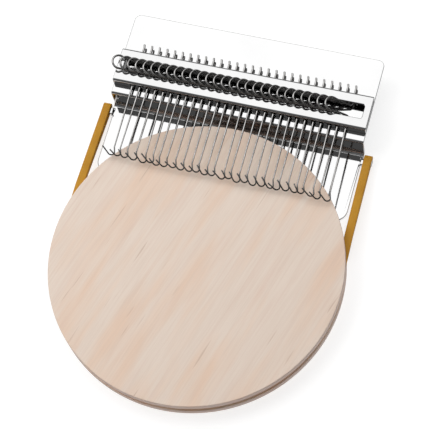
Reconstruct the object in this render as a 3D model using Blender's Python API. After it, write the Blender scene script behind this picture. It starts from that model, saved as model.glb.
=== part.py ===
"""Darning loom: a bent steel plate with a row of flip-over wire hooks, and a grooved wooden disc
that a rubber band holds on the plate's tongue.

Frame: metres, +Z up, +Y from the disc towards the hooks' pins, +X to the right. The origin is the
centre of the tongue's underside, which is the face the loom lies on.
"""

from math import acos, atan2, cos, hypot, pi, radians, sin, sqrt

import bmesh
import bpy
from mathutils import Vector

MM = 0.001
GAP = 0.3 * MM

# Base plate: a sheet bent into a low step.
SHEET = 0.8 * MM
BEND = 0.2 * MM
FOLD = 1.5 * MM
PLATE_WIDTH = 98.0 * MM
STEP_HEIGHT = 9.1 * MM
TONGUE_LENGTH = 28.6 * MM
TONGUE_WIDTH = 97.0 * MM
TONGUE_CORNER = 5.0 * MM
LEDGE_DEPTH = 3.9 * MM
REAR_MARGIN = 16.6 * MM
REAR_CORNER = 2.5 * MM

# Ears: small tabs set up from the tongue, so that the band can pass under them.
EAR_WIDTH = 2.6 * MM
EAR_SLIT = 0.3 * MM
EAR_FRONT = 5.1 * MM
EAR_TIP = 52.9 * MM
EAR_LIFT = 1.4 * MM
EAR_ROOT = 0.9 * MM

# Bridge: an inverted channel across the rear plate.
BRIDGE_DEPTH = 14.0 * MM
BRIDGE_HEIGHT = 3.4 * MM
SLOT_LENGTH = 92.8 * MM
SLOT_WIDTH = 5.7 * MM
SLOT_CORNER = 0.8 * MM
SLOT_OFFSET = 7.1 * MM

# Hooks: bent wires that turn about a line along Y.
HOOKS = 28
PITCH = 3.06 * MM
WIRE = 0.4 * MM
AXIS_HEIGHT = 1.6 * MM
NOTCH_RADIUS = 0.72 * MM
LEAN = radians(62)
PIN_LENGTH = 3.6 * MM
PIN_TURN = 0.25 * MM
NECK = 4.4 * MM
NECK_HEIGHT = 4.9 * MM
LOOP_RADIUS = 2.6 * MM
LOOP_FORWARD = 0.1 * MM
REACH = 10.1 * MM
CORNER = 0.9 * MM
SHANK_END = 25.9 * MM
SHANK_DROP = 0.95 * MM
CATCH_RADIUS = 1.4 * MM
CATCH_CENTRE = 27.95 * MM
CATCH_DROP = 0.25 * MM
CATCH_TIP = 3.9 * MM
CATCH_FLARE = radians(35)

# Wooden disc. Its distance is from the bridge's front face to its centre.
DISC_RADIUS = 54.25 * MM
DISC_THICKNESS = 8.2 * MM
DISC_X = 1.0 * MM
DISC_DISTANCE = 62.4 * MM
DISC_EDGE = 0.4 * MM
GROOVE_HEIGHT = 2.4 * MM
GROOVE_RADIUS = 49.5 * MM

# Rubber band: two flat strands, one above the other.
BAND_WIDTH = 3.0 * MM
BAND_THICKNESS = 0.8 * MM
BAND_OUTER = 53.1 * MM
BAND_SEAT = 51.0 * MM
STRAND_SPACING = 1.0 * MM

# Levels and stations that follow from the sizes above.
RISER_Y = TONGUE_LENGTH / 2
BRIDGE_Y = RISER_Y + LEDGE_DEPTH
REAR_Y = BRIDGE_Y + BRIDGE_DEPTH + REAR_MARGIN
PLATE_TOP = SHEET + STEP_HEIGHT
AXIS_Z = PLATE_TOP + AXIS_HEIGHT
SLOT_Y = BRIDGE_Y + SLOT_OFFSET
DISC_Y = BRIDGE_Y - DISC_DISTANCE
DISC_BOTTOM = SHEET + GAP
GROOVE_Z = DISC_BOTTOM + DISC_THICKNESS / 2
EAR_Y = RISER_Y - EAR_FRONT + EAR_WIDTH / 2
BAND_TRACK = BAND_OUTER - BAND_WIDTH / 2
BAND_TURN = SHEET / 2 + GAP + BAND_THICKNESS / 2

ARC_STEP = radians(15)
WIRE_ARC_STEP = radians(30)
DISC_SIDES = 96


def clear_scene():
    for obj in list(bpy.data.objects):
        bpy.data.objects.remove(obj, do_unlink=True)


def new_material(name, colour, roughness, metallic=0.0):
    material = bpy.data.materials.new(name)
    material.use_nodes = True
    shader = material.node_tree.nodes["Principled BSDF"]
    shader.inputs["Base Color"].default_value = (*colour, 1)
    shader.inputs["Roughness"].default_value = roughness
    shader.inputs["Metallic"].default_value = metallic
    return material


def mirror_steel():
    return new_material("mirror_steel", (0.82, 0.82, 0.84), 0.06, 1)


def wire_steel():
    return new_material("wire_steel", (0.55, 0.55, 0.57), 0.22, 1)


def pale_pine():
    return new_material("pale_pine", (0.74, 0.58, 0.46), 0.6)


def ochre_rubber():
    return new_material("ochre_rubber", (0.60, 0.31, 0.03), 0.55)


def arc(centre, radius, start, end, step=ARC_STEP):
    """Points of a circular arc in a plane, both ends included."""
    count = max(1, round(abs(end - start) / step))
    angles = [start + (end - start) * i / count for i in range(count + 1)]
    return [(centre[0] + radius * cos(a), centre[1] + radius * sin(a)) for a in angles]


def object_from(bm, name, material=None):
    bmesh.ops.remove_doubles(bm, verts=bm.verts, dist=1e-7)
    bmesh.ops.recalc_face_normals(bm, faces=bm.faces)
    mesh = bpy.data.meshes.new(name)
    bm.to_mesh(mesh)
    bm.free()
    obj = bpy.data.objects.new(name, mesh)
    bpy.context.scene.collection.objects.link(obj)
    if material:
        mesh.materials.append(material)
    return obj


def prism(outline, place, travel, name, material=None):
    """A closed outline, put in space by place(a, b) and extruded along travel."""
    bm = bmesh.new()
    face = bm.faces.new([bm.verts.new(place(a, b)) for a, b in outline])
    made = bmesh.ops.extrude_face_region(bm, geom=[face])
    moved = [item for item in made["geom"] if isinstance(item, bmesh.types.BMVert)]
    bmesh.ops.translate(bm, verts=moved, vec=travel)
    return object_from(bm, name, material)


def across(outline, left, right, name, material=None):
    """A (y, z) outline extruded along X from left to right."""
    return prism(outline, lambda y, z: (left, y, z), (right - left, 0, 0), name, material)


def upright(outline, bottom, top, name, material=None):
    """An (x, y) outline extruded along Z from bottom to top."""
    return prism(outline, lambda x, y: (x, y, bottom), (0, 0, top - bottom), name, material)


def boolean(target, operation, tool):
    modifier = target.modifiers.new(tool.name, "BOOLEAN")
    modifier.operation = operation
    modifier.object = tool
    modifier.solver = "EXACT"
    tool.hide_render = True
    tool.display_type = "WIRE"


def smooth_round_faces(obj):
    obj.data.shade_smooth()
    obj.data.set_sharp_from_angle(angle=radians(32))


def step_profile():
    """(y, z) outline of the bent sheet: tongue, riser and rear plate."""
    front_bend = (RISER_Y - FOLD, SHEET + FOLD)
    rear_bend = (RISER_Y + SHEET + BEND, PLATE_TOP - SHEET - BEND)
    outer = BEND + SHEET
    return [
        (-RISER_Y, 0),
        *arc(front_bend, FOLD + SHEET, -pi / 2, 0),
        *arc(rear_bend, BEND, pi, pi / 2),
        (REAR_Y, PLATE_TOP - SHEET),
        (REAR_Y, PLATE_TOP),
        *arc(rear_bend, outer, pi / 2, pi),
        *arc(front_bend, FOLD, 0, -pi / 2),
        (-RISER_Y, SHEET),
    ]


def plan_outline():
    """(x, y) outline of the sheet from above, with a cut-out at each ear."""
    half = PLATE_WIDTH / 2
    side = TONGUE_WIDTH / 2
    low = EAR_Y - EAR_WIDTH / 2 - EAR_SLIT
    high = EAR_Y + EAR_WIDTH / 2 + EAR_SLIT
    front = -RISER_Y
    return [
        *arc((side - TONGUE_CORNER, front + TONGUE_CORNER), TONGUE_CORNER, -pi / 2, 0),
        (side, low),
        (half - EAR_ROOT, low),
        (half - EAR_ROOT, high),
        (half, high),
        *arc((half - REAR_CORNER, REAR_Y - REAR_CORNER), REAR_CORNER, 0, pi / 2),
        *arc((REAR_CORNER - half, REAR_Y - REAR_CORNER), REAR_CORNER, pi / 2, pi),
        (-half, high),
        (EAR_ROOT - half, high),
        (EAR_ROOT - half, low),
        (-side, low),
        *arc((TONGUE_CORNER - side, front + TONGUE_CORNER), TONGUE_CORNER, pi, 1.5 * pi),
    ]


def ear(side):
    """A tab that leaves the sheet, steps up by EAR_LIFT and runs out past the tongue's side."""
    inset = SHEET / 16
    root = PLATE_WIDTH / 2 - EAR_ROOT - SHEET
    web = PLATE_WIDTH / 2 - EAR_ROOT + EAR_SLIT
    outline = [
        (root, inset),
        (web + SHEET, inset),
        (web + SHEET, EAR_LIFT),
        (EAR_TIP, EAR_LIFT),
        (EAR_TIP, EAR_LIFT + SHEET),
        (web, EAR_LIFT + SHEET),
        (web, SHEET - inset),
        (root, SHEET - inset),
    ]
    front = EAR_Y - EAR_WIDTH / 2
    name = "ear_left" if side < 0 else "ear_right"
    return prism(outline, lambda x, z: (side * x, front, z), (0, EAR_WIDTH, 0), name)


def base_plate():
    reach = PLATE_WIDTH
    plate = across(step_profile(), -reach, reach, "base_plate", mirror_steel())
    boolean(plate, "INTERSECT", upright(plan_outline(), -SHEET, PLATE_TOP + SHEET, "plan_guide"))
    for side in (-1, 1):
        boolean(plate, "UNION", ear(side))
    smooth_round_faces(plate)


def hook_x(index):
    return (index - (HOOKS - 1) / 2) * PITCH


def channel_profile():
    """(y, z) outline of the bridge: an inverted channel with rounded bends."""
    foot = PLATE_TOP + GAP
    top = PLATE_TOP + BRIDGE_HEIGHT
    rear = BRIDGE_Y + BRIDGE_DEPTH
    inner = BEND
    outer = inner + SHEET
    front_bend = (BRIDGE_Y + outer, top - outer)
    rear_bend = (rear - outer, top - outer)
    return [
        (BRIDGE_Y, foot),
        (BRIDGE_Y + SHEET, foot),
        *arc(front_bend, inner, pi, pi / 2, 2 * ARC_STEP),
        *arc(rear_bend, inner, pi / 2, 0, 2 * ARC_STEP),
        (rear - SHEET, foot),
        (rear, foot),
        *arc(rear_bend, outer, 0, pi / 2),
        *arc(front_bend, outer, pi / 2, pi),
    ]


def comb_outline():
    """(x, z) outline of all the notches: 28 arches that stand on one bar below the walls."""
    bar = PLATE_TOP
    edge = PLATE_TOP + GAP / 2
    end = hook_x(HOOKS - 1) + PITCH
    points = [(-end, bar - SHEET), (end, bar - SHEET), (end, edge)]
    for index in reversed(range(HOOKS)):
        x = hook_x(index)
        points.append((x + NOTCH_RADIUS, edge))
        points.extend(arc((x, AXIS_Z), NOTCH_RADIUS, 0, pi, 2 * ARC_STEP))
        points.append((x - NOTCH_RADIUS, edge))
    points.append((-end, edge))
    return points


def slot_outline():
    """(x, y) outline of the long slot in the bridge's top."""
    dx = SLOT_LENGTH / 2 - SLOT_CORNER
    dy = SLOT_WIDTH / 2 - SLOT_CORNER
    corners = [(dx, -dy, -pi / 2), (dx, dy, 0), (-dx, dy, pi / 2), (-dx, -dy, pi)]
    points = []
    for x, y, start in corners:
        points.extend(arc((x, SLOT_Y + y), SLOT_CORNER, start, start + pi / 2, 2 * ARC_STEP))
    return points


def hook_bridge():
    half = PLATE_WIDTH / 2
    bridge = across(channel_profile(), -half, half, "hook_bridge", mirror_steel())
    slot = upright(slot_outline(), PLATE_TOP + SHEET, PLATE_TOP + 2 * BRIDGE_HEIGHT, "slot_cutter")
    run = BRIDGE_DEPTH + 2 * SHEET
    notches = prism(
        comb_outline(), lambda x, z: (x, BRIDGE_Y - SHEET, z), (0, run, 0), "notch_cutter"
    )
    boolean(bridge, "DIFFERENCE", slot)
    boolean(bridge, "DIFFERENCE", notches)
    smooth_round_faces(bridge)


def hook_route():
    """(y, reach) points of one wire, from its pin to the tip of its catch.

    y is measured from the bridge's front face, and reach away from the axis it turns about.
    """
    neck = NECK / 2
    rear, front = SLOT_OFFSET + neck, SLOT_OFFSET - neck
    pin = BRIDGE_DEPTH + PIN_LENGTH
    loop_centre = (SLOT_OFFSET - LOOP_FORWARD, REACH - LOOP_RADIUS)
    loop = arc(loop_centre, LOOP_RADIUS, 0, pi, WIRE_ARC_STEP)
    bend = WIRE_ARC_STEP * 1.5
    centre = (-CATCH_CENTRE, -CATCH_DROP)
    catch = arc(centre, CATCH_RADIUS, 1.5 * pi, pi - CATCH_FLARE, WIRE_ARC_STEP)
    last_y, last_reach = catch[-1]
    flare = (CATCH_TIP - last_reach) / cos(CATCH_FLARE)
    return [
        (pin, PIN_TURN),
        (pin - 2 * PIN_TURN, 0),
        *arc((rear + CORNER, CORNER), CORNER, -pi / 2, -pi, bend),
        (rear, NECK_HEIGHT),
        *loop,
        (front, NECK_HEIGHT),
        *arc((front - CORNER, CORNER), CORNER, 0, -pi / 2, bend),
        (-SHANK_END, -SHANK_DROP),
        *catch,
        (last_y + flare * sin(CATCH_FLARE), CATCH_TIP),
    ]


def hook_wire():
    """The wire as a bevelled curve in its upright position, its origin on the axis."""
    route = hook_route()
    curve = bpy.data.curves.new("hook_wire", "CURVE")
    curve.dimensions = "3D"
    curve.bevel_depth = WIRE
    curve.bevel_resolution = 1
    curve.use_fill_caps = True
    spline = curve.splines.new("POLY")
    spline.points.add(len(route) - 1)
    for point, (y, reach) in zip(spline.points, route):
        point.co = (0, BRIDGE_Y + y, reach, 1)
    curve.materials.append(wire_steel())
    return curve


def hooks():
    wire = hook_wire()
    for index in range(HOOKS):
        hook = bpy.data.objects.new(f"hook_{index + 1:02d}", wire)
        bpy.context.scene.collection.objects.link(hook)
        hook.location = (hook_x(index), 0, AXIS_Z)
        hook.rotation_euler = (0, -LEAN, 0)


def wooden_disc():
    top = DISC_BOTTOM + DISC_THICKNESS
    groove_top = GROOVE_Z + GROOVE_HEIGHT / 2
    groove_bottom = GROOVE_Z - GROOVE_HEIGHT / 2
    inner = DISC_RADIUS - DISC_EDGE
    profile = [
        (0, top),
        (inner, top),
        (DISC_RADIUS, top - DISC_EDGE),
        (DISC_RADIUS, groove_top),
        (GROOVE_RADIUS, groove_top),
        (GROOVE_RADIUS, groove_bottom),
        (DISC_RADIUS, groove_bottom),
        (DISC_RADIUS, DISC_BOTTOM + DISC_EDGE),
        (inner, DISC_BOTTOM),
        (0, DISC_BOTTOM),
    ]
    bm = bmesh.new()
    verts = [bm.verts.new((radius, 0, z)) for radius, z in profile]
    edges = [bm.edges.new(pair) for pair in zip(verts, verts[1:])]
    bmesh.ops.spin(
        bm, geom=verts + edges, axis=(0, 0, 1), cent=(0, 0, 0), angle=2 * pi, steps=DISC_SIDES
    )
    disc = object_from(bm, "wooden_disc", pale_pine())
    disc.location = (DISC_X, DISC_Y, 0)
    smooth_round_faces(disc)


def tangent_angle(x, y, side):
    """Angle on the disc at which a strand from (x, y) meets its track in the groove."""
    dx, dy = x - DISC_X, y - DISC_Y
    return atan2(dy, dx) - side * acos(BAND_TRACK / hypot(dx, dy))


def groove_entry(touching, x, y):
    """Where a strand from (x, y) comes in over the rim: from here on it is level in the groove."""
    touch, outward = touching
    towards_ear = Vector((x - touch.x, y - touch.y, 0)).normalized()
    inside_rim = sqrt(DISC_RADIUS**2 - (BAND_OUTER - BAND_WIDTH) ** 2)
    return touch + towards_ear * (inside_rim + BAND_WIDTH / 2), outward


def strand(level):
    """One strand from the left ear round the front of the disc to the right ear.

    level is 1 for the upper strand, over the ears, and -1 for the lower one, under them.
    """
    centre = Vector((DISC_X, DISC_Y, GROOVE_Z + level * STRAND_SPACING / 2))
    ear_z = EAR_LIFT + SHEET / 2 + level * BAND_TURN
    left, right = Vector((-1, 0, 0)), Vector((1, 0, 0))
    ear_front, ear_rear = EAR_Y - EAR_WIDTH / 2 - GAP, EAR_Y + EAR_WIDTH / 2
    start = tangent_angle(-BAND_SEAT, ear_front, -1) - 2 * pi
    end = tangent_angle(BAND_SEAT, ear_front, 1)
    in_groove = []
    for x, y in arc((0, 0), 1, start, end, ARC_STEP / 2):
        outward = Vector((x, y, 0))
        in_groove.append((centre + outward * BAND_TRACK, outward))
    return [
        (Vector((-BAND_SEAT, ear_rear, ear_z)), left),
        (Vector((-BAND_SEAT, ear_front, ear_z)), left),
        groove_entry(in_groove[0], -BAND_SEAT, ear_front),
        *in_groove,
        groove_entry(in_groove[-1], BAND_SEAT, ear_front),
        (Vector((BAND_SEAT, ear_front, ear_z)), right),
        (Vector((BAND_SEAT, ear_rear, ear_z)), right),
    ]


def fold(side):
    """Stations round the rear edge of one ear, from its top to its underside."""
    outward = Vector((side, 0, 0))
    centre = Vector((side * BAND_SEAT, EAR_Y + EAR_WIDTH / 2, EAR_LIFT + SHEET / 2))
    return [
        (centre + Vector((0, rear, up)), outward)
        for rear, up in arc((0, 0), BAND_TURN, pi / 4, -pi / 4, pi / 4)
    ]


def band_route():
    """(point, outward direction) stations once around the closed band."""
    return strand(1) + fold(1) + strand(-1)[::-1] + fold(-1)[::-1]


def elastic_band():
    """A flat strip swept along the band's route, its width always level."""
    stations = band_route()
    bm = bmesh.new()
    rings = []
    for i, (point, outward) in enumerate(stations):
        along = (stations[(i + 1) % len(stations)][0] - stations[i - 1][0]).normalized()
        normal = outward.cross(along).normalized()
        across_band = along.cross(normal)
        ring = []
        for a, b in ((-1, -1), (1, -1), (1, 1), (-1, 1)):
            offset = across_band * (a * BAND_WIDTH / 2) + normal * (b * BAND_THICKNESS / 2)
            ring.append(bm.verts.new(point + offset))
        rings.append(ring)
    for i, ring in enumerate(rings):
        following = rings[(i + 1) % len(rings)]
        for k in range(4):
            bm.faces.new((ring[k], ring[(k + 1) % 4], following[(k + 1) % 4], following[k]))
    object_from(bm, "elastic_band", ochre_rubber())


clear_scene()
base_plate()
hook_bridge()
hooks()
wooden_disc()
elastic_band()
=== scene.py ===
"""Looks of the darning loom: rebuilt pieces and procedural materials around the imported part.

Frame as in the part: metres, +Z up, +Y from the disc towards the hooks' pins, +X to the right, and
the origin at the centre of the tongue's underside.
"""

from math import acos, atan2, cos, hypot, pi, radians, sin, sqrt
from random import Random

import bmesh
import bpy
from mathutils import Matrix, Vector


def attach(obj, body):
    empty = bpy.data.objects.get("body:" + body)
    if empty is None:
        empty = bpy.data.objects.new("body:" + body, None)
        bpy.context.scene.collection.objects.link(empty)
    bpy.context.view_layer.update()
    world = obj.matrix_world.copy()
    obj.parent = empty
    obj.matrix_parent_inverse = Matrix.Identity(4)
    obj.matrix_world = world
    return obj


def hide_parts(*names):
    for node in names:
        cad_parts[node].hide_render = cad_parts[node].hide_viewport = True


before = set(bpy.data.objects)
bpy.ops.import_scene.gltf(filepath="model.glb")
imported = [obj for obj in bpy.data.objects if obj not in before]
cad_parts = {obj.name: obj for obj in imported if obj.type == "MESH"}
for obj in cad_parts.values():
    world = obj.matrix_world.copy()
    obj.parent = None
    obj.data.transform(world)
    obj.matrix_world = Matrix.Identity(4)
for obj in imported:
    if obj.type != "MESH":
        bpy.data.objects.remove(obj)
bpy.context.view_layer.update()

MM = 0.001
HEAD = "loom_head"

# Base plate.
SHEET = 0.8 * MM
BEND = 0.2 * MM
FOLD = 1.5 * MM
PLATE_WIDTH = 98.0 * MM
STEP_HEIGHT = 9.1 * MM
TONGUE_LENGTH = 28.6 * MM
TONGUE_WIDTH = 97.0 * MM
TONGUE_CORNER = 5.0 * MM
LEDGE_DEPTH = 3.9 * MM
REAR_MARGIN = 16.6 * MM
REAR_CORNER = 2.5 * MM
EDGE_ROUNDING = 0.3 * MM
PLATE_SHADE = 0.45
# The bridge is the plate's steel painted a little darker: painted shade on the bridge's top.
BRIDGE_STEEL_WITH_PAINTED_SHADE = 0.415
HAZE_GAIN = 1.04

# Ears.
EAR_WIDTH = 2.6 * MM
EAR_SLIT = 0.3 * MM
EAR_FRONT = 5.1 * MM
EAR_TIP = 52.9 * MM
EAR_LIFT = 1.4 * MM
EAR_ROOT = 0.9 * MM

# Bridge.
BRIDGE_DEPTH = 14.0 * MM
BRIDGE_HEIGHT = 3.4 * MM
SLOT_LENGTH = 92.8 * MM
SLOT_WIDTH = 5.7 * MM
SLOT_CORNER = 0.8 * MM
SLOT_OFFSET = 7.1 * MM

# Hooks.
HOOKS = 28
PITCH = 3.06 * MM
WIRE = 0.4 * MM
AXIS_HEIGHT = 1.6 * MM
NOTCH_RADIUS = 0.72 * MM
LEAN = radians(62)
PIN_LENGTH = 3.6 * MM
PIN_TURN = 0.25 * MM
PIN_SHOULDER = 0.225 * MM
PIN_BEND = 1.0 * MM
NECK = 4.4 * MM
NECK_HEIGHT = 4.9 * MM
LOOP_RADIUS = 2.6 * MM
LOOP_FORWARD = 0.1 * MM
REACH = 10.1 * MM
CORNER = 0.9 * MM
SHANK_END = 25.9 * MM
SHANK_DROP = 0.95 * MM
CATCH_RADIUS = 1.4 * MM
CATCH_CENTRE = 27.95 * MM
CATCH_DROP = 0.25 * MM
CATCH_TIP = 3.9 * MM
CATCH_FLARE = radians(35)
TIP_ROUNDING = 0.12 * MM
TIP_SHARE = 0.7
CATCH_THINNING = 0.35

# Bent by hand, no two hooks are the same: the most that one strays from the drawing.
HAND_SEED = 28
SHANK_SWAY = 0.32 * MM
LOOP_SWAY = 0.15 * MM
TIP_STRAY = 0.4 * MM
SHANK_LIFT = 1.1 * MM
SHANK_STRETCH = 0.45 * MM
FLARE_STRAY = radians(13)

# The wire's colours: bright and dull patches, and painted shade that darkens the catches.
WIRE_BRIGHT = (0.31, 0.305, 0.30)
WIRE_DULL = (0.21, 0.205, 0.20)
WIRE_CATCH_PAINTED_SHADE = (0.02, 0.02, 0.02)
CATCH_PAINTED_SHADE_SHARE = 0.7
WIRE_EDGE_TINT = (0.35, 0.35, 0.35)

# Wooden disc. Its distance is from the bridge's front face to its centre.
DISC_RADIUS = 54.25 * MM
DISC_THICKNESS = 8.2 * MM
DISC_X = 1.0 * MM
DISC_DISTANCE = 62.4 * MM
DISC_EDGE = 0.4 * MM
GROOVE_HEIGHT = 2.4 * MM
GROOVE_RADIUS = 49.5 * MM
GROOVE_EDGE = 0.25 * MM
GRAIN_TURN = radians(17.5)
PINE = (0.79, 0.66, 0.56)
PINE_BAND = (0.79, 0.585, 0.45)
PINE_STREAK = (0.72, 0.53, 0.43)
PINE_FIBRE = (0.66, 0.50, 0.40)
PINE_DASH = (0.50, 0.31, 0.21)
# The rim's colour: partly end grain, partly painted shade.
PINE_RIM_GRAIN_AND_SHADE = (0.36, 0.24, 0.215)

# Rubber band.
BAND_WIDTH = 3.0 * MM
BAND_THICKNESS = 0.8 * MM
BAND_OUTER = 53.1 * MM
BAND_SEAT = 51.0 * MM
BAND_CORNER = 0.2 * MM
STRAND_SPACING = 1.0 * MM
GAP = 0.3 * MM
RUBBER = (0.47, 0.215, 0.006)
RUBBER_WORN = (0.51, 0.245, 0.010)

# Levels and stations that follow from the sizes above.
RISER_Y = TONGUE_LENGTH / 2
BRIDGE_Y = RISER_Y + LEDGE_DEPTH
REAR_Y = BRIDGE_Y + BRIDGE_DEPTH + REAR_MARGIN
PLATE_TOP = SHEET + STEP_HEIGHT
AXIS_Z = PLATE_TOP + AXIS_HEIGHT
SLOT_Y = BRIDGE_Y + SLOT_OFFSET
DISC_Y = BRIDGE_Y - DISC_DISTANCE
DISC_BOTTOM = SHEET + GAP
GROOVE_Z = DISC_BOTTOM + DISC_THICKNESS / 2
EAR_Y = RISER_Y - EAR_FRONT + EAR_WIDTH / 2
BAND_TRACK = BAND_OUTER - BAND_WIDTH / 2
BAND_TURN = SHEET / 2 + GAP + BAND_THICKNESS / 2

# Fineness: steps of the arcs, sides of the turned disc, and the angle from which an edge is sharp.
ARC_STEP = radians(7.5)
WIRE_ARC_STEP = radians(10)
DISC_SIDES = 256
SHARP_ANGLE = radians(40)
MERGE_DISTANCE = 0.0001 * MM

# Camera.
CAMERA_TARGET = Vector((0.9, -21.4, 0)) * MM
CAMERA_AZIMUTH = radians(31.97)
CAMERA_ELEVATION = radians(66.29)
CAMERA_ROLL = radians(-17.74)
CAMERA_DISTANCE = 684.7 * MM
CAMERA_LENS = 155.05
CAMERA_SENSOR = 36.0
CAMERA_NEAR = 0.05
CAMERA_FAR = 20.0

# Studio: one very large white light above and behind, a dark patch above the front, dim elsewhere.
SKY_WHITE = 2.2
SKY_DIM = 0.12
SKY_DARK = 0.22
LIGHT_TOWARDS = Vector((-0.40, 0.35, 0.85)).normalized()
LIGHT_SPREAD = radians(62)
LIGHT_CORE = radians(44)
DARK_TOWARDS = Vector((-0.05, -0.38, 0.92)).normalized()
DARK_SPREAD = radians(32)
DARK_CORE = radians(24)
HORIZON_TOP = radians(44)
HORIZON_BASE = radians(30)
KEY_ENERGY = 5.0
KEY_SIZE = 1.0
KEY_PLACE = Vector((-1.0, 0.1, 1.0))
FLOOR_SIZE = 6.0
FLOOR_GLOW = 0.72
FLOOR_DARKER = (0.36, 0.36, 0.36)
FLOOR_LIGHTER = (0.38, 0.38, 0.38)


# ---------------------------------------------------------------- meshes


def arc(centre, radius, start, end, step=ARC_STEP):
    """Points of a circular arc in a plane, both ends included."""
    count = max(1, round(abs(end - start) / step))
    angles = [start + (end - start) * i / count for i in range(count + 1)]
    return [(centre[0] + radius * cos(a), centre[1] + radius * sin(a)) for a in angles]


def object_from(bm, name):
    """A new object in the scene from a finished bmesh, its faces pointing out."""
    bmesh.ops.remove_doubles(bm, verts=bm.verts, dist=MERGE_DISTANCE)
    bmesh.ops.recalc_face_normals(bm, faces=bm.faces)
    mesh = bpy.data.meshes.new(name)
    bm.to_mesh(mesh)
    bm.free()
    obj = bpy.data.objects.new(name, mesh)
    bpy.context.scene.collection.objects.link(obj)
    return obj


def prism(outline, place, travel, name):
    """A closed outline, put in space by place(a, b) and extruded along travel."""
    bm = bmesh.new()
    face = bm.faces.new([bm.verts.new(place(a, b)) for a, b in outline])
    made = bmesh.ops.extrude_face_region(bm, geom=[face])
    moved = [item for item in made["geom"] if isinstance(item, bmesh.types.BMVert)]
    bmesh.ops.translate(bm, verts=moved, vec=travel)
    return object_from(bm, name)


def across(outline, left, right, name):
    """A (y, z) outline extruded along X from left to right."""
    return prism(outline, lambda y, z: (left, y, z), (right - left, 0, 0), name)


def upright(outline, bottom, top, name):
    """An (x, y) outline extruded along Z from bottom to top."""
    return prism(outline, lambda x, y: (x, y, bottom), (0, 0, top - bottom), name)


def apply_modifiers(obj):
    """Replaces the object's mesh by what its modifiers make of it."""
    graph = bpy.context.evaluated_depsgraph_get()
    mesh = bpy.data.meshes.new_from_object(obj.evaluated_get(graph))
    obj.modifiers.clear()
    obj.data = mesh


def boolean(target, operation, tool):
    """Joins or cuts target with tool, and removes the tool."""
    modifier = target.modifiers.new(tool.name, "BOOLEAN")
    modifier.operation = operation
    modifier.object = tool
    modifier.solver = "EXACT"
    apply_modifiers(target)
    bpy.data.objects.remove(tool)


def round_sheet_edges(obj, width):
    """A small rounding on every cut edge of a bent sheet, whose flats stay optically flat."""
    obj.data.shade_smooth()
    bevel = obj.modifiers.new("edge", "BEVEL")
    bevel.width = width
    bevel.segments = 2
    bevel.limit_method = "ANGLE"
    bevel.angle_limit = SHARP_ANGLE
    bevel.use_clamp_overlap = False
    flats = obj.modifiers.new("flats", "WEIGHTED_NORMAL")
    flats.weight = 100
    apply_modifiers(obj)


def finished(obj, material, body, slot, *nodes):
    """Gives a rebuilt piece its material and its body, and hides the CAD nodes it stands for; the
    slot argument is not used.
    """
    obj.data.materials.clear()
    obj.data.materials.append(material)
    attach(obj, body)
    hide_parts(*nodes)


# ---------------------------------------------------------------- materials


def add(tree, kind, inputs=(), **settings):
    """A new shader node, with each input linked to a socket or set to a value."""
    node = tree.nodes.new(kind)
    for name, value in settings.items():
        setattr(node, name, value)
    for name, value in dict(inputs).items():
        if isinstance(value, bpy.types.NodeSocket):
            tree.links.new(value, node.inputs[name])
        else:
            node.inputs[name].default_value = value
    return node


def new_material(name):
    """A material, its node tree and its Principled shader."""
    material = bpy.data.materials.new(name)
    material.use_nodes = True
    return material, material.node_tree, material.node_tree.nodes["Principled BSDF"]


def placed(tree, scale=(1, 1, 1), turn=0.0):
    """Object coordinates in metres, turned about Z and then scaled."""
    where = add(tree, "ShaderNodeTexCoord").outputs["Object"]
    turned = add(tree, "ShaderNodeMapping", {"Vector": where, "Rotation": (0, 0, turn)})
    scaled = add(tree, "ShaderNodeMapping", {"Vector": turned.outputs[0], "Scale": scale})
    return scaled.outputs[0]


def noise(tree, where, scale, detail=3, roughness=0.5):
    """Noise from 0 to 1, with scale in cells per metre."""
    inputs = {"Vector": where, "Scale": scale, "Detail": detail, "Roughness": roughness}
    return add(tree, "ShaderNodeTexNoise", inputs).outputs["Fac"]


def spread(tree, value, source, target=(0, 1)):
    """value mapped from the range source to the range target, and held at the ends."""
    inputs = {"Value": value, "From Min": source[0], "From Max": source[1]}
    inputs.update({"To Min": target[0], "To Max": target[1]})
    return add(tree, "ShaderNodeMapRange", inputs).outputs[0]


def mix(tree, share, colour, other):
    """The first colour, going over to the other by share; each is a socket or a tuple."""
    inputs = {0: share}
    for index, value in ((6, colour), (7, other)):
        inputs[index] = (*value, 1) if isinstance(value, tuple) else value
    return add(tree, "ShaderNodeMix", inputs, data_type="RGBA").outputs[2]


def bump(tree, shader, height, distance, strength=1.0):
    """Relief on a shader: height from 0 to 1, and the distance that 1 stands for."""
    inputs = {"Height": height, "Distance": distance, "Strength": strength}
    tree.links.new(add(tree, "ShaderNodeBump", inputs).outputs[0], shader.inputs["Normal"])


def mirror_steel(name, shade):
    """Polished sheet: nearly clean reflections, with faint rolling lines and handling haze."""
    material, tree, shader = new_material(name)
    shader.inputs["Metallic"].default_value = 1
    haze = noise(tree, placed(tree), scale=60, detail=4)
    rolled = noise(tree, placed(tree, (1, 0.04, 1)), scale=900, detail=2)
    lighter = HAZE_GAIN * shade
    hazy = spread(tree, haze, (0.35, 0.65))
    tint = mix(tree, hazy, (shade, shade, shade), (lighter, lighter, lighter))
    tree.links.new(tint, shader.inputs["Base Color"])
    tree.links.new(spread(tree, rolled, (0.3, 0.7), (0.03, 0.07)), shader.inputs["Roughness"])
    bump(tree, shader, rolled, 0.002 * MM)
    return material


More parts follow.
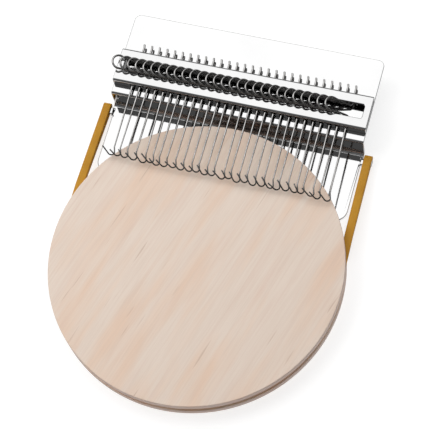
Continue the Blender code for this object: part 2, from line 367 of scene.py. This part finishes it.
def wire_steel():
    """Drawn wire: greyer than the sheet, with duller patches, fine lines, and catches darkened by
    painted shade.
    """
    material, tree, shader = new_material("wire_steel")
    shader.inputs["Metallic"].default_value = 1
    shader.inputs["Specular Tint"].default_value = (*WIRE_EDGE_TINT, 1)
    patches = noise(tree, placed(tree), scale=400)
    drawn = noise(tree, placed(tree, (1, 0.05, 1)), scale=5000, detail=2)
    tint = mix(tree, spread(tree, patches, (0.35, 0.7)), WIRE_BRIGHT, WIRE_DULL)
    along = add(tree, "ShaderNodeSeparateXYZ", {"Vector": placed(tree)}).outputs["Y"]
    # Painted shade: the wire's colour goes nearly black towards the catches.
    catch_y = BRIDGE_Y - SHANK_END
    fading = (catch_y - CATCH_RADIUS / 2, catch_y + CATCH_RADIUS)
    painted_catch_shade = spread(tree, along, fading, (CATCH_PAINTED_SHADE_SHARE, 0))
    tree.links.new(mix(tree, painted_catch_shade, tint, WIRE_CATCH_PAINTED_SHADE), shader.inputs["Base Color"])
    tree.links.new(spread(tree, drawn, (0.3, 0.7), (0.07, 0.14)), shader.inputs["Roughness"])
    bump(tree, shader, drawn, 0.01 * MM)
    return material


def along_grain(tree, stretch, scale, detail, roughness):
    """Noise drawn out along the wood's grain; a smaller stretch makes longer marks."""
    return noise(tree, placed(tree, (1, stretch, 1), GRAIN_TURN), scale, detail, roughness)


def pale_pine():
    """Sanded pine: wide soft bands and fine fibres along the grain, a few dashes, and a rim made
    darker, partly for its end grain and partly as painted shade.
    """
    material, tree, shader = new_material("pale_pine")
    bands = along_grain(tree, stretch=0.14, scale=110, detail=3, roughness=0.5)
    streaks = along_grain(tree, stretch=0.06, scale=330, detail=3, roughness=0.6)
    fibres = along_grain(tree, stretch=0.03, scale=1800, detail=2, roughness=0.6)
    dashes = along_grain(tree, stretch=0.045, scale=1100, detail=1, roughness=0.4)
    normal = add(tree, "ShaderNodeNewGeometry").outputs["Normal"]
    facing = add(tree, "ShaderNodeSeparateXYZ", {"Vector": normal})
    level = add(tree, "ShaderNodeMath", {0: facing.outputs["Z"]}, operation="ABSOLUTE").outputs[0]
    wood = mix(tree, spread(tree, bands, (0.45, 0.65)), PINE, PINE_BAND)
    wood = mix(tree, spread(tree, streaks, (0.52, 0.76), (0, 0.5)), wood, PINE_STREAK)
    wood = mix(tree, spread(tree, fibres, (0.4, 0.75), (0, 0.3)), wood, PINE_FIBRE)
    wood = mix(tree, spread(tree, dashes, (0.71, 0.79), (0, 0.45)), wood, PINE_DASH)
    # Sideways faces darker: partly end grain, partly painted shade on the rim.
    wood = mix(tree, spread(tree, level, (0.3, 0.8), (0.55, 0)), wood, PINE_RIM_GRAIN_AND_SHADE)
    tree.links.new(wood, shader.inputs["Base Color"])
    tree.links.new(spread(tree, fibres, (0.3, 0.7), (0.5, 0.68)), shader.inputs["Roughness"])
    bump(tree, shader, fibres, 0.03 * MM, 0.6)
    return material


def ochre_rubber():
    """Matt rubber with a fine grain and slight dusty wear."""
    material, tree, shader = new_material("ochre_rubber")
    shader.inputs["Specular IOR Level"].default_value = 0.25
    cloud = noise(tree, placed(tree), scale=180)
    grain = noise(tree, placed(tree), scale=4000, detail=2)
    tint = mix(tree, spread(tree, cloud, (0.35, 0.65)), RUBBER, RUBBER_WORN)
    tree.links.new(tint, shader.inputs["Base Color"])
    tree.links.new(spread(tree, grain, (0.3, 0.7), (0.45, 0.6)), shader.inputs["Roughness"])
    bump(tree, shader, grain, 0.02 * MM, 0.6)
    return material


def floor_white():
    """Matt pale ground, faintly mottled, that glows a little so that the shadows stay soft."""
    material, tree, shader = new_material("floor_white")
    mottle = noise(tree, placed(tree), scale=40, detail=2)
    tree.links.new(mix(tree, mottle, FLOOR_DARKER, FLOOR_LIGHTER), shader.inputs["Base Color"])
    shader.inputs["Emission Color"].default_value = (1, 1, 1, 1)
    shader.inputs["Emission Strength"].default_value = FLOOR_GLOW
    shader.inputs["Roughness"].default_value = 0.9
    return material


# ---------------------------------------------------------------- steel head


def step_profile():
    """(y, z) outline of the bent sheet: tongue, riser and rear plate."""
    front_bend = (RISER_Y - FOLD, SHEET + FOLD)
    rear_bend = (RISER_Y + SHEET + BEND, PLATE_TOP - SHEET - BEND)
    outer = BEND + SHEET
    return [
        (-RISER_Y, 0),
        *arc(front_bend, FOLD + SHEET, -pi / 2, 0),
        *arc(rear_bend, BEND, pi, pi / 2),
        (REAR_Y, PLATE_TOP - SHEET),
        (REAR_Y, PLATE_TOP),
        *arc(rear_bend, outer, pi / 2, pi),
        *arc(front_bend, FOLD, 0, -pi / 2),
        (-RISER_Y, SHEET),
    ]


def plan_outline():
    """(x, y) outline of the sheet from above, with a cut-out at each ear."""
    half = PLATE_WIDTH / 2
    side = TONGUE_WIDTH / 2
    low = EAR_Y - EAR_WIDTH / 2 - EAR_SLIT
    high = EAR_Y + EAR_WIDTH / 2 + EAR_SLIT
    front = -RISER_Y
    return [
        *arc((side - TONGUE_CORNER, front + TONGUE_CORNER), TONGUE_CORNER, -pi / 2, 0),
        (side, low),
        (half - EAR_ROOT, low),
        (half - EAR_ROOT, high),
        (half, high),
        *arc((half - REAR_CORNER, REAR_Y - REAR_CORNER), REAR_CORNER, 0, pi / 2),
        *arc((REAR_CORNER - half, REAR_Y - REAR_CORNER), REAR_CORNER, pi / 2, pi),
        (-half, high),
        (EAR_ROOT - half, high),
        (EAR_ROOT - half, low),
        (-side, low),
        *arc((TONGUE_CORNER - side, front + TONGUE_CORNER), TONGUE_CORNER, pi, 1.5 * pi),
    ]


def ear(side):
    """A tab that leaves the sheet, steps up by EAR_LIFT and runs out past the tongue's side."""
    root = PLATE_WIDTH / 2 - EAR_ROOT - SHEET
    web = PLATE_WIDTH / 2 - EAR_ROOT + EAR_SLIT
    outline = [
        (root, 0),
        (web + SHEET, 0),
        (web + SHEET, EAR_LIFT),
        (EAR_TIP, EAR_LIFT),
        (EAR_TIP, EAR_LIFT + SHEET),
        (web, EAR_LIFT + SHEET),
        (web, SHEET),
        (root, SHEET),
    ]
    front = EAR_Y - EAR_WIDTH / 2
    return prism(outline, lambda x, z: (side * x, front, z), (0, EAR_WIDTH, 0), "ear")


def base_plate(steel):
    """The bent sheet, trimmed to its plan and joined with its two ears."""
    plate = across(step_profile(), -PLATE_WIDTH, PLATE_WIDTH, "plate")
    boolean(plate, "INTERSECT", upright(plan_outline(), -SHEET, PLATE_TOP + SHEET, "plan"))
    for side in (-1, 1):
        boolean(plate, "UNION", ear(side))
    round_sheet_edges(plate, EDGE_ROUNDING)
    finished(plate, steel, HEAD, "mirror_steel", "base_plate")


def hook_x(index):
    """Place of one hook along the bridge, counted from the left."""
    return (index - (HOOKS - 1) / 2) * PITCH


def channel_profile():
    """(y, z) outline of the bridge: an inverted channel with rounded bends, on the plate."""
    foot = PLATE_TOP
    top = PLATE_TOP + BRIDGE_HEIGHT
    rear = BRIDGE_Y + BRIDGE_DEPTH
    outer = BEND + SHEET
    front_bend = (BRIDGE_Y + outer, top - outer)
    rear_bend = (rear - outer, top - outer)
    return [
        (BRIDGE_Y, foot),
        (BRIDGE_Y + SHEET, foot),
        *arc(front_bend, BEND, pi, pi / 2),
        *arc(rear_bend, BEND, pi / 2, 0),
        (rear - SHEET, foot),
        (rear, foot),
        *arc(rear_bend, outer, 0, pi / 2),
        *arc(front_bend, outer, pi / 2, pi),
    ]


def comb_outline():
    """(x, z) outline of all the notches: 28 arches that stand on one bar below the walls."""
    bar = PLATE_TOP - 2 * SHEET
    edge = PLATE_TOP - SHEET
    end = hook_x(HOOKS - 1) + PITCH
    points = [(-end, bar), (end, bar), (end, edge)]
    for index in reversed(range(HOOKS)):
        x = hook_x(index)
        points.append((x + NOTCH_RADIUS, edge))
        points.extend(arc((x, AXIS_Z), NOTCH_RADIUS, 0, pi, 2 * ARC_STEP))
        points.append((x - NOTCH_RADIUS, edge))
    points.append((-end, edge))
    return points


def slot_outline():
    """(x, y) outline of the long slot in the bridge's top."""
    dx = SLOT_LENGTH / 2 - SLOT_CORNER
    dy = SLOT_WIDTH / 2 - SLOT_CORNER
    corners = [(dx, -dy, -pi / 2), (dx, dy, 0), (-dx, dy, pi / 2), (-dx, -dy, pi)]
    points = []
    for x, y, start in corners:
        points.extend(arc((x, SLOT_Y + y), SLOT_CORNER, start, start + pi / 2))
    return points


def hook_bridge(steel):
    """The channel with its slot for the loops and its notches for the wires."""
    half = PLATE_WIDTH / 2
    bridge = across(channel_profile(), -half, half, "bridge")
    front = BRIDGE_Y - SHEET
    run = BRIDGE_DEPTH + 2 * SHEET
    notches = prism(comb_outline(), lambda x, z: (x, front, z), (0, run, 0), "notches")
    slot = upright(slot_outline(), AXIS_Z, AXIS_Z + BRIDGE_HEIGHT, "slot")
    boolean(bridge, "DIFFERENCE", slot)
    boolean(bridge, "DIFFERENCE", notches)
    round_sheet_edges(bridge, EDGE_ROUNDING)
    finished(bridge, steel, HEAD, "mirror_steel", "hook_bridge")


# ---------------------------------------------------------------- hooks


def hook_route(draw):
    """(sideways, y, reach) points of one wire, from its pin to the tip of its catch.

    y is measured from the bridge's front face, reach away from the axis that the hook turns about,
    and sideways square to both. draw gives this hook's share of a tolerance, from -1 to 1.
    """
    rear, front = SLOT_OFFSET + NECK / 2, SLOT_OFFSET - NECK / 2
    loop_centre = (SLOT_OFFSET - LOOP_FORWARD, REACH - LOOP_RADIUS)
    pin = BRIDGE_DEPTH + PIN_LENGTH
    loop_side = LOOP_SWAY * draw()
    shank_side = SHANK_SWAY * draw()
    tip = CATCH_TIP + TIP_STRAY * (draw() - 1) / 2
    lift = SHANK_LIFT * (draw() + 1) / 2
    stretch = SHANK_STRETCH * draw()
    slant = CATCH_FLARE + FLARE_STRAY * draw()
    centre = (-CATCH_CENTRE - stretch, lift - CATCH_DROP)
    catch = arc(centre, CATCH_RADIUS, 1.5 * pi, pi - slant, WIRE_ARC_STEP)
    last_y, last_reach = catch[-1]
    flare = (tip - last_reach) / cos(slant)
    flat = [
        (pin, PIN_TURN),
        (pin - PIN_TURN, PIN_SHOULDER),
        (pin - PIN_BEND, 0),
        *arc((rear + CORNER, CORNER), CORNER, -pi / 2, -pi, WIRE_ARC_STEP),
        (rear, NECK_HEIGHT),
        *arc(loop_centre, LOOP_RADIUS, 0, pi, WIRE_ARC_STEP),
        (front, NECK_HEIGHT),
        *arc((front - CORNER, CORNER), CORNER, 0, -pi / 2, WIRE_ARC_STEP),
        (-SHANK_END - stretch, lift - SHANK_DROP),
        *catch,
        (last_y + flare * sin(slant), tip),
    ]
    points = []
    for y, reach in flat:
        in_loop = max(0.0, reach / REACH) if y > 0 else 0.0
        along_shank = max(0.0, -y / CATCH_CENTRE)
        points.append((loop_side * in_loop + shank_side * along_shank, y, reach))
    return points


def with_round_ends(points):
    """(point, radius share) pairs: the points, with a short taper before each cut end."""
    first, second = points[0], points[1]
    last, before = points[-1], points[-2]
    full = [
        first + (second - first).normalized() * TIP_ROUNDING,
        *points[1:-1],
        last + (before - last).normalized() * TIP_ROUNDING,
    ]
    return [(first, TIP_SHARE), *((point, 1.0) for point in full), (last, TIP_SHARE)]


def catch_share(y):
    """Share of the wire's radius that is left at y: it thins from mid-shank to the catch."""
    past_middle = (BRIDGE_Y - SHANK_END / 2 - y) / (SHANK_END / 2)
    return 1 - CATCH_THINNING * min(1.0, max(0.0, past_middle))


def hook(index, wire_material, draw):
    """One wire, bent in its own plane and leant over about its axis."""
    route = [Vector((side, BRIDGE_Y + y, reach)) for side, y, reach in hook_route(draw)]
    name = f"hook_wire_{index + 1:02d}"
    curve = bpy.data.curves.new(name, "CURVE")
    curve.dimensions = "3D"
    curve.bevel_depth = WIRE
    curve.bevel_resolution = 4
    curve.use_fill_caps = True
    ended = with_round_ends(route)
    spline = curve.splines.new("POLY")
    spline.points.add(len(ended) - 1)
    lean = Matrix.Translation((hook_x(index), 0, AXIS_Z)) @ Matrix.Rotation(-LEAN, 4, "Y")
    for point, (place, share) in zip(spline.points, ended):
        point.co = (*(lean @ place), 1)
        point.radius = share * catch_share(place.y)
    obj = bpy.data.objects.new(name, curve)
    bpy.context.scene.collection.objects.link(obj)
    number = f"hook_{index + 1:02d}"
    finished(obj, wire_material, number + "_body", "wire_steel", number)


def hooks(wire_material):
    """All the wires, from the left to the right."""
    random = Random(HAND_SEED)
    for index in range(HOOKS):
        hook(index, wire_material, lambda: random.uniform(-1, 1))


# ---------------------------------------------------------------- disc and band


def disc_profile():
    """(radius, z) half section of the disc: rounded rims and a groove with softened lips."""
    top = DISC_BOTTOM + DISC_THICKNESS
    inner = DISC_RADIUS - DISC_EDGE
    lip = DISC_RADIUS - GROOVE_EDGE
    high = GROOVE_Z + GROOVE_HEIGHT / 2
    low = GROOVE_Z - GROOVE_HEIGHT / 2
    return [
        (0, top),
        *arc((inner, top - DISC_EDGE), DISC_EDGE, pi / 2, 0, 3 * ARC_STEP),
        *arc((lip, high + GROOVE_EDGE), GROOVE_EDGE, 0, -pi / 2, 3 * ARC_STEP),
        (GROOVE_RADIUS, high),
        (GROOVE_RADIUS, low),
        *arc((lip, low - GROOVE_EDGE), GROOVE_EDGE, pi / 2, 0, 3 * ARC_STEP),
        *arc((inner, DISC_BOTTOM + DISC_EDGE), DISC_EDGE, 0, -pi / 2, 3 * ARC_STEP),
        (0, DISC_BOTTOM),
    ]


def wooden_disc(wood):
    """The half section turned about the disc's upright axis."""
    bm = bmesh.new()
    verts = [bm.verts.new((DISC_X + radius, DISC_Y, z)) for radius, z in disc_profile()]
    edges = [bm.edges.new(pair) for pair in zip(verts, verts[1:])]
    half = verts + edges
    centre = (DISC_X, DISC_Y, 0)
    bmesh.ops.spin(bm, geom=half, axis=(0, 0, 1), cent=centre, angle=2 * pi, steps=DISC_SIDES)
    disc = object_from(bm, "disc")
    disc.data.shade_smooth()
    disc.data.set_sharp_from_angle(angle=SHARP_ANGLE)
    finished(disc, wood, HEAD, "pale_pine", "wooden_disc")


def tangent_angle(x, y, side):
    """Angle on the disc at which a strand from (x, y) meets its track in the groove."""
    dx, dy = x - DISC_X, y - DISC_Y
    return atan2(dy, dx) - side * acos(BAND_TRACK / hypot(dx, dy))


def groove_entry(touching, x, y):
    """Where a strand from (x, y) comes in over the rim: from here on it is level in the groove."""
    touch, outward = touching
    towards_ear = Vector((x - touch.x, y - touch.y, 0)).normalized()
    inside_rim = sqrt(DISC_RADIUS**2 - (BAND_OUTER - BAND_WIDTH) ** 2)
    return touch + towards_ear * (inside_rim + BAND_WIDTH / 2), outward


def strand(level):
    """One strand from the left ear round the front of the disc to the right ear.

    level is 1 for the upper strand, over the ears, and -1 for the lower one, under them.
    """
    centre = Vector((DISC_X, DISC_Y, GROOVE_Z + level * STRAND_SPACING / 2))
    ear_z = EAR_LIFT + SHEET / 2 + level * BAND_TURN
    left, right = Vector((-1, 0, 0)), Vector((1, 0, 0))
    ear_front, ear_rear = EAR_Y - EAR_WIDTH / 2 - GAP, EAR_Y + EAR_WIDTH / 2
    start = tangent_angle(-BAND_SEAT, ear_front, -1) - 2 * pi
    end = tangent_angle(BAND_SEAT, ear_front, 1)
    in_groove = []
    for x, y in arc((0, 0), 1, start, end, ARC_STEP / 4):
        outward = Vector((x, y, 0))
        in_groove.append((centre + outward * BAND_TRACK, outward))
    return [
        (Vector((-BAND_SEAT, ear_rear, ear_z)), left),
        (Vector((-BAND_SEAT, ear_front, ear_z)), left),
        groove_entry(in_groove[0], -BAND_SEAT, ear_front),
        *in_groove,
        groove_entry(in_groove[-1], BAND_SEAT, ear_front),
        (Vector((BAND_SEAT, ear_front, ear_z)), right),
        (Vector((BAND_SEAT, ear_rear, ear_z)), right),
    ]


def fold(side):
    """Stations round the rear edge of one ear, from its top to its underside."""
    outward = Vector((side, 0, 0))
    centre = Vector((side * BAND_SEAT, EAR_Y + EAR_WIDTH / 2, EAR_LIFT + SHEET / 2))
    return [
        (centre + Vector((0, rear, up)), outward)
        for rear, up in arc((0, 0), BAND_TURN, 3 * pi / 8, -3 * pi / 8, pi / 8)
    ]


def band_section():
    """(across, through) outline of the strip, its corners rounded."""
    half_width = BAND_WIDTH / 2 - BAND_CORNER
    half_thickness = BAND_THICKNESS / 2 - BAND_CORNER
    corners = [(1, 1, 0), (-1, 1, pi / 2), (-1, -1, pi), (1, -1, 1.5 * pi)]
    points = []
    for a, b, start in corners:
        centre = (a * half_width, b * half_thickness)
        points.extend(arc(centre, BAND_CORNER, start, start + pi / 2, pi / 4))
    return points


def elastic_band(rubber):
    """The strip swept along its closed route, its width always level."""
    stations = strand(1) + fold(1) + strand(-1)[::-1] + fold(-1)[::-1]
    section = band_section()
    bm = bmesh.new()
    rings = []
    for i, (point, outward) in enumerate(stations):
        along = (stations[(i + 1) % len(stations)][0] - stations[i - 1][0]).normalized()
        normal = outward.cross(along).normalized()
        across_band = along.cross(normal)
        rings.append([bm.verts.new(point + across_band * a + normal * b) for a, b in section])
    for i, ring in enumerate(rings):
        following = rings[(i + 1) % len(rings)]
        for k, vert in enumerate(ring):
            after = (k + 1) % len(ring)
            bm.faces.new((vert, ring[after], following[after], following[k]))
    band = object_from(bm, "band")
    band.data.shade_smooth()
    finished(band, rubber, HEAD, "ochre_rubber", "elastic_band")


# ---------------------------------------------------------------- studio


def floor():
    """The ground that the loom lies on."""
    bm = bmesh.new()
    bmesh.ops.create_grid(bm, x_segments=2, y_segments=2, size=FLOOR_SIZE / 2)
    plane = object_from(bm, "floor")
    plane.data.materials.append(floor_white())


def share_near(tree, towards, centre, spread_angle, core_angle):
    """1 within core_angle of a direction of the sky, falling to 0 at spread_angle from it."""
    near = add(tree, "ShaderNodeVectorMath", {0: towards, 1: centre}, operation="DOT_PRODUCT")
    return spread(tree, near.outputs["Value"], (cos(spread_angle), cos(core_angle)))


def sky():
    """The light, the dark patch and the dim rest; the camera itself sees plain white."""
    world = bpy.data.worlds.new("studio")
    bpy.context.scene.world = world
    world.use_nodes = True
    tree = world.node_tree
    tree.nodes.clear()
    towards = add(tree, "ShaderNodeTexCoord").outputs["Generated"]
    lit = share_near(tree, towards, LIGHT_TOWARDS, LIGHT_SPREAD, LIGHT_CORE)
    unlit = share_near(tree, towards, DARK_TOWARDS, DARK_SPREAD, DARK_CORE)
    height = add(tree, "ShaderNodeSeparateXYZ", {"Vector": towards}).outputs["Z"]
    above = spread(tree, height, (sin(HORIZON_BASE), sin(HORIZON_TOP)))
    overhead = add(tree, "ShaderNodeMath", {0: lit, 1: above}, operation="MULTIPLY").outputs[0]
    level = add(tree, "ShaderNodeMix", {"Factor": overhead, "A": SKY_DIM, "B": SKY_WHITE})
    darkened = {"Factor": unlit, "A": level.outputs[0], "B": SKY_DARK}
    strength = add(tree, "ShaderNodeMix", darkened)
    seen = add(tree, "ShaderNodeBackground", {"Color": (1, 1, 1, 1), "Strength": 1.0})
    lighting = add(tree, "ShaderNodeBackground", {"Color": (1, 1, 1, 1)})
    tree.links.new(strength.outputs[0], lighting.inputs["Strength"])
    camera_ray = add(tree, "ShaderNodeLightPath").outputs["Is Camera Ray"]
    chosen = add(tree, "ShaderNodeMixShader", {"Fac": camera_ray})
    tree.links.new(lighting.outputs[0], chosen.inputs[1])
    tree.links.new(seen.outputs[0], chosen.inputs[2])
    output = add(tree, "ShaderNodeOutputWorld")
    tree.links.new(chosen.outputs[0], output.inputs["Surface"])


def key_light():
    """A broad lamp at the upper left, for soft shadows."""
    light = bpy.data.lights.new("key", "AREA")
    light.energy = KEY_ENERGY
    light.size = KEY_SIZE
    lamp = bpy.data.objects.new("key", light)
    bpy.context.scene.collection.objects.link(lamp)
    lamp.location = KEY_PLACE
    lamp.rotation_euler = (-KEY_PLACE).to_track_quat("-Z", "Y").to_euler()


def camera():
    """A long lens from above the front right, rolled, aimed at CAMERA_TARGET."""
    lens = bpy.data.cameras.new("camera")
    lens.lens = CAMERA_LENS
    lens.sensor_width = CAMERA_SENSOR
    lens.clip_start = CAMERA_NEAR
    lens.clip_end = CAMERA_FAR
    eye = bpy.data.objects.new("camera", lens)
    bpy.context.scene.collection.objects.link(eye)
    back = Vector(
        (
            sin(CAMERA_AZIMUTH) * cos(CAMERA_ELEVATION),
            -cos(CAMERA_AZIMUTH) * cos(CAMERA_ELEVATION),
            sin(CAMERA_ELEVATION),
        )
    )
    level_right = Vector((0, 0, 1)).cross(back).normalized()
    level_up = back.cross(level_right)
    right = level_right * cos(CAMERA_ROLL) + level_up * sin(CAMERA_ROLL)
    up = level_up * cos(CAMERA_ROLL) - level_right * sin(CAMERA_ROLL)
    turn = Matrix((right, up, back)).transposed().to_4x4()
    eye.matrix_world = Matrix.Translation(CAMERA_TARGET + back * CAMERA_DISTANCE) @ turn
    bpy.context.scene.camera = eye
    bpy.context.scene.view_settings.view_transform = "Standard"


base_plate(mirror_steel("plate_steel", PLATE_SHADE))
# The bridge's steel carries painted shade: a little darker than the plate's.
hook_bridge(mirror_steel("bridge_steel_painted_shade", BRIDGE_STEEL_WITH_PAINTED_SHADE))
hooks(wire_steel())
wooden_disc(pale_pine())
elastic_band(ochre_rubber())
floor()
sky()
key_light()
camera()
